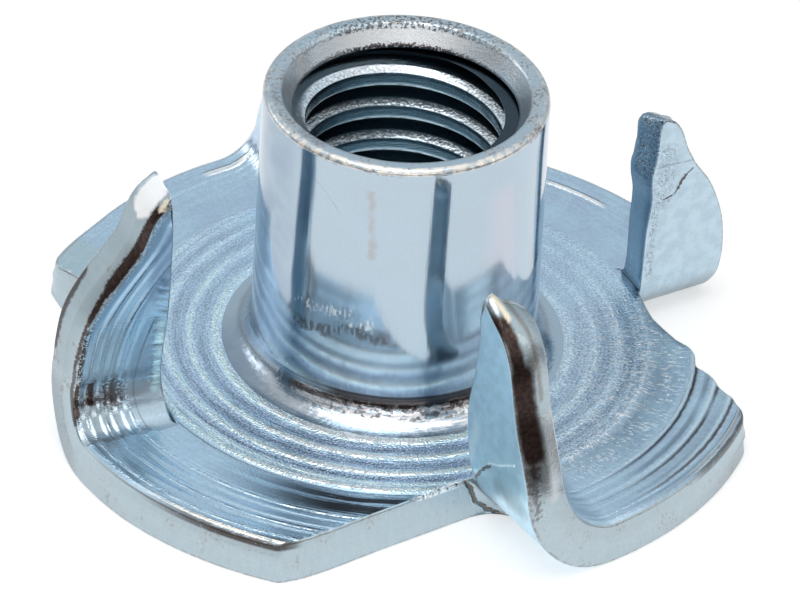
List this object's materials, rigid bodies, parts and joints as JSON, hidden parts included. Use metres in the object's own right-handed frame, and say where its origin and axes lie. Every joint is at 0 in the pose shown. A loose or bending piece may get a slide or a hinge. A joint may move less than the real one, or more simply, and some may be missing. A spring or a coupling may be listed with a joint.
{
  "type": "tee nut",
  "caption": "Pronged tee nut: flat round flange with a drawn, internally threaded barrel and upright hooked prongs bent up from the flange's rim.",
  "frame": {"origin": "centre of the flange's flat underside, on the thread's axis", "axes": "+Z along the thread, from the flange towards the barrel's rim; the bend lines of the prongs lie on the X and Y axes"},
  "size_m": [0.019, 0.019, 0.0087],
  "materials": {
    "zinc_plate": "pressed and drawn steel, zinc plated with a pale blue passivation"
  },
  "bodies": {
    "root": {"tee_nut": "zinc_plate"}
  },
  "joints": []
}
